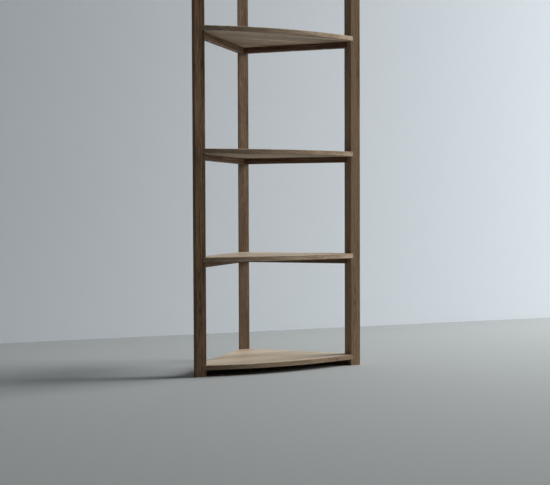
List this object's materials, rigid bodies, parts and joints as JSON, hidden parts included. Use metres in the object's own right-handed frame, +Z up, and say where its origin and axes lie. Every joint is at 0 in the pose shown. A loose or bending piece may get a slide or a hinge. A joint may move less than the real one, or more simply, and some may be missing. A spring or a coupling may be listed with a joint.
{
  "type": "corner shelf unit",
  "caption": "Open wooden corner shelf unit: slim posts carry bow-fronted boards with low rails under their straight sides, to stand in the corner of a room.",
  "frame": {"origin": "on the floor, in the middle of the unit's width and of its depth from the boards' bow to the rear post", "axes": "+Z up the posts, +X to the right seen from the open front, +Y back into the corner of the walls"},
  "size_m": [0.524, 0.3069, 1.34],
  "materials": {
    "post_wood": "dark brown oiled wood, straight grain along the post, low sheen",
    "shelf_wood": "mid brown oiled wood glued up from staves, grain across the unit, low sheen, waxed on top",
    "rail_wood": "dark brown oiled wood, grain along the rail, low sheen",
    "screw_steel": "yellow zinc plated steel"
  },
  "bodies": {
    "root": {"front_left_post": "post_wood", "front_right_post": "post_wood", "rear_post": "post_wood", "bottom_shelf": "shelf_wood", "bottom_left_rail": "rail_wood", "bottom_right_rail": "rail_wood", "bottom_rail_screws": "screw_steel", "bottom_post_screws": "screw_steel", "second_shelf": "shelf_wood", "second_left_rail": "rail_wood", "second_right_rail": "rail_wood", "second_rail_screws": "screw_steel", "second_post_screws": "screw_steel", "third_shelf": "shelf_wood", "third_left_rail": "rail_wood", "third_right_rail": "rail_wood", "third_rail_screws": "screw_steel", "third_post_screws": "screw_steel", "fourth_shelf": "shelf_wood", "fourth_left_rail": "rail_wood", "fourth_right_rail": "rail_wood", "fourth_rail_screws": "screw_steel", "fourth_post_screws": "screw_steel", "fifth_shelf": "shelf_wood", "fifth_left_rail": "rail_wood", "fifth_right_rail": "rail_wood", "fifth_rail_screws": "screw_steel", "fifth_post_screws": "screw_steel"}
  },
  "joints": []
}
